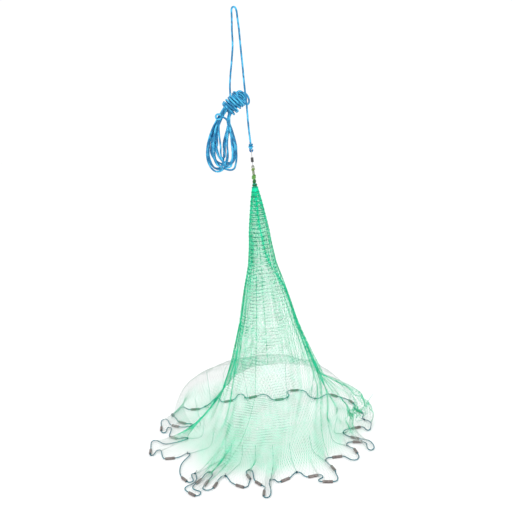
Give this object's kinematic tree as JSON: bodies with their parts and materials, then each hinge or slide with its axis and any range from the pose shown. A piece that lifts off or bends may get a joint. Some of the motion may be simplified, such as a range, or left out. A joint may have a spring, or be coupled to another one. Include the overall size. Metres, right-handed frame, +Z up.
{
  "type": "cast_net",
  "caption": "Green monofilament cast net hung by its blue hand rope, with a wire swivel, knotted crown twine and a leaded skirt spread on the floor",
  "frame": {"origin": "Underside of the hand rope's bend, where a hook carries the hung net.", "axes": "+Z up along the hung net, +X to its right and +Y to its back, with the rope's hank at its left."},
  "size_m": [0.7515, 0.8285, 1.361],
  "materials": {
    "rope": "braided polypropylene, slightly glossy",
    "wire": "bright drawn wire",
    "barrel": "black, satin",
    "olive_twine": "twisted twine",
    "green_twine": "twisted twine",
    "netting": "clear green monofilament",
    "line": "braided line",
    "lead": "dull grey lead"
  },
  "bodies": {
    "rope": {"hand_rope": "rope", "hank_head": "rope", "hank_loops": "rope", "rope_tail_eye": "rope", "rope_knot": "rope", "rope_eye": "rope"},
    "upper_eye": {"swivel_upper_eye": "wire"},
    "barrel": {"swivel_barrel": "barrel"},
    "lower_eye": {"swivel_lower_eye": "wire"},
    "net": {"crown_loop": "olive_twine", "crown_knot": "olive_twine", "crown_strands": "olive_twine", "crown_ball_knot": "green_twine", "crown_lower_knot": "green_twine", "net_neck": "netting", "net_whipping": "green_twine", "net_gore_front": "netting", "net_gore_front_right": "netting", "net_gore_back_right": "netting", "net_gore_back": "netting", "net_gore_back_left": "netting", "net_gore_front_left": "netting", "seam_lacing": "green_twine", "lead_line": "line", "lead_line_knot": "line", "hem_lashings": "line", "tuck_lines": "line", "sinkers_front": "lead", "sinkers_right": "lead", "sinkers_back": "lead", "sinkers_left": "lead"}
  },
  "joints": [
    {"name": "fore_aft_swing", "type": "hinge", "parent": "rope", "child": "upper_eye", "pos_m": [0.011, 0, -0.434], "axis": [1, 0, 0], "range_deg": [-40, 40]},
    {"name": "upper_spin", "type": "hinge", "parent": "upper_eye", "child": "barrel", "pos_m": [0.011, 0, -0.455], "axis": [0, 0, 1], "continuous": true},
    {"name": "lower_spin", "type": "hinge", "parent": "barrel", "child": "lower_eye", "pos_m": [0.011, 0, -0.464], "axis": [0, 0, 1], "continuous": true},
    {"name": "left_right_swing", "type": "hinge", "parent": "lower_eye", "child": "net", "pos_m": [0.011, 0, -0.4808], "axis": [0, 1, 0], "range_deg": [-40, 40]}
  ]
}
